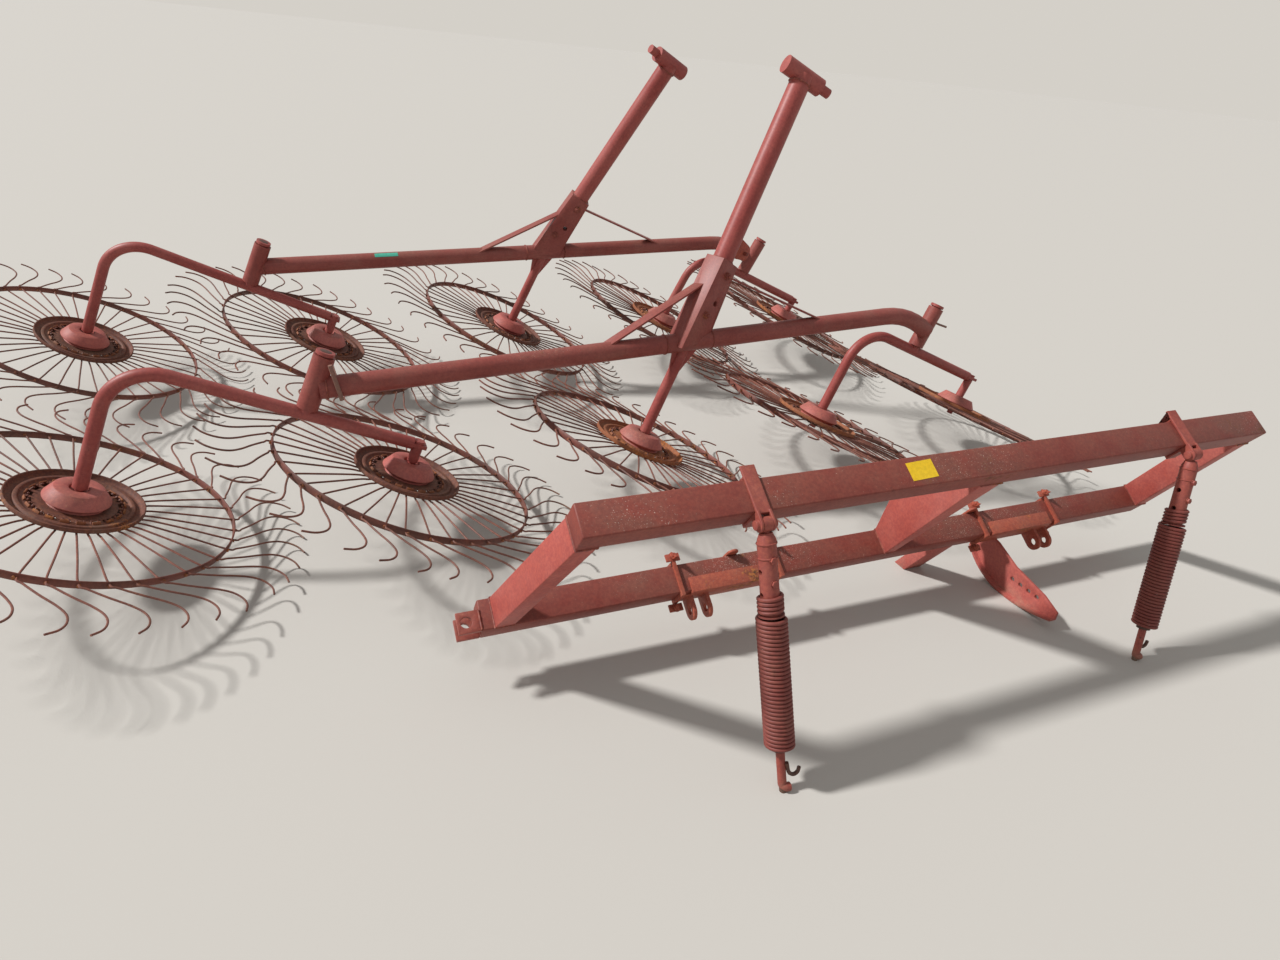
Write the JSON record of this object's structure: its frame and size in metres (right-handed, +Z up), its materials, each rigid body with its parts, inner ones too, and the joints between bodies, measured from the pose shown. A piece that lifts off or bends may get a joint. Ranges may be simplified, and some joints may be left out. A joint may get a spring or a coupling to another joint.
{
  "type": "wheel hay rake",
  "caption": "Mounted finger-wheel rake taken down for storage: a leaning hitch frame and two gangs of tined wheels on swinging rockers.",
  "frame": {"origin": "middle of the part's box on the floor", "axes": "+X along the beams towards their right ends, +Y from the hitch frame towards the far gang, +Z up"},
  "size_m": [5.541, 4.102, 1.8589],
  "materials": {
    "faded_red": "faded red paint, chalky, with rust spots",
    "rusty_red": "worn red paint with brown rust",
    "bracket_red": "faded red paint with rust",
    "spring_red": "faded red paint on spring wire, rust between the turns",
    "wheel_rust": "rusty steel with remains of red paint",
    "rust": "brown rust"
  },
  "bodies": {
    "root": {"top_beam": "rusty_red", "lower_beam": "rusty_red", "left_strut": "faded_red", "centre_strut": "faded_red", "right_strut": "faded_red", "left_lug": "faded_red", "stand_leg": "faded_red", "left_hitch": "bracket_red", "right_hitch": "bracket_red", "hole_bar": "faded_red", "left_strap": "faded_red", "right_strap": "faded_red", "left_spring_tube": "faded_red", "right_spring_tube": "faded_red", "left_spring": "spring_red", "right_spring": "spring_red", "left_foot_rod": "rust", "right_foot_rod": "rust", "near_beam": "faded_red", "near_socket": "faded_red", "near_mast": "faded_red", "near_braces": "faded_red", "near_centre_spindle": "faded_red", "far_beam": "faded_red", "far_socket": "faded_red", "far_mast": "faded_red", "far_braces": "faded_red", "far_centre_spindle": "faded_red"},
    "near_left": {"near_left_rocker": "faded_red"},
    "near_right": {"near_right_rocker": "faded_red"},
    "near_wheel_1": {"near_wheel_1": "wheel_rust"},
    "near_wheel_2": {"near_wheel_2": "wheel_rust"},
    "near_wheel_3": {"near_wheel_3": "wheel_rust"},
    "near_wheel_4": {"near_wheel_4": "wheel_rust"},
    "near_wheel_5": {"near_wheel_5": "wheel_rust"},
    "far_left": {"far_left_rocker": "faded_red"},
    "far_right": {"far_right_rocker": "faded_red"},
    "far_wheel_1": {"far_wheel_1": "wheel_rust"},
    "far_wheel_2": {"far_wheel_2": "wheel_rust"},
    "far_wheel_3": {"far_wheel_3": "wheel_rust"},
    "far_wheel_4": {"far_wheel_4": "wheel_rust"},
    "far_wheel_5": {"far_wheel_5": "wheel_rust"}
  },
  "joints": [
    {"name": "near_left_swing", "type": "hinge", "parent": "root", "child": "near_left", "pos_m": [-1.18463, -0.37165, 0.55595], "axis": [0.3681, 0.0158, 0.9296], "range_deg": [-12, 12]},
    {"name": "near_right_swing", "type": "hinge", "parent": "root", "child": "near_right", "pos_m": [1.69109, -0.35964, 0.61237], "axis": [0.3681, 0.0158, 0.9296], "range_deg": [-12, 12]},
    {"name": "near_wheel_1_spin", "type": "hinge", "parent": "near_left", "child": "near_wheel_1", "pos_m": [-1.93755, -0.32642, 0.28045], "axis": [0.3681, 0.0158, 0.9296], "continuous": true},
    {"name": "near_wheel_2_spin", "type": "hinge", "parent": "near_left", "child": "near_wheel_2", "pos_m": [-0.84487, -0.41114, 0.28045], "axis": [0.3681, 0.0158, 0.9296], "continuous": true},
    {"name": "near_wheel_3_spin", "type": "hinge", "parent": "root", "child": "near_wheel_3", "pos_m": [0.17223, -0.38785, 0.28045], "axis": [0.3681, 0.0158, 0.9296], "continuous": true},
    {"name": "near_wheel_4_spin", "type": "hinge", "parent": "near_right", "child": "near_wheel_4", "pos_m": [1.17614, -0.34994, 0.28045], "axis": [0.3681, 0.0158, 0.9296], "continuous": true},
    {"name": "near_wheel_5_spin", "type": "hinge", "parent": "near_right", "child": "near_wheel_5", "pos_m": [2.06992, -0.38571, 0.28045], "axis": [0.3681, 0.0158, 0.9296], "continuous": true},
    {"name": "far_left_swing", "type": "hinge", "parent": "root", "child": "far_left", "pos_m": [-1.3068, 1.16347, 0.59411], "axis": [0.3794, -0.1171, 0.9178], "range_deg": [-12, 12]},
    {"name": "far_right_swing", "type": "hinge", "parent": "root", "child": "far_right", "pos_m": [1.56902, 1.11327, 0.60974], "axis": [0.3794, -0.1171, 0.9178], "range_deg": [-12, 12]},
    {"name": "far_wheel_1_spin", "type": "hinge", "parent": "far_left", "child": "far_wheel_1", "pos_m": [-2.07298, 1.30419, 0.3019], "axis": [0.3794, -0.1171, 0.9178], "continuous": true},
    {"name": "far_wheel_2_spin", "type": "hinge", "parent": "far_left", "child": "far_wheel_2", "pos_m": [-0.97764, 1.12864, 0.3019], "axis": [0.3794, -0.1171, 0.9178], "continuous": true},
    {"name": "far_wheel_3_spin", "type": "hinge", "parent": "root", "child": "far_wheel_3", "pos_m": [0.04605, 1.19331, 0.3019], "axis": [0.3794, -0.1171, 0.9178], "continuous": true},
    {"name": "far_wheel_4_spin", "type": "hinge", "parent": "far_right", "child": "far_wheel_4", "pos_m": [1.05565, 1.18097, 0.3019], "axis": [0.3794, -0.1171, 0.9178], "continuous": true},
    {"name": "far_wheel_5_spin", "type": "hinge", "parent": "far_right", "child": "far_wheel_5", "pos_m": [1.95551, 1.11472, 0.3019], "axis": [0.3794, -0.1171, 0.9178], "continuous": true}
  ]
}
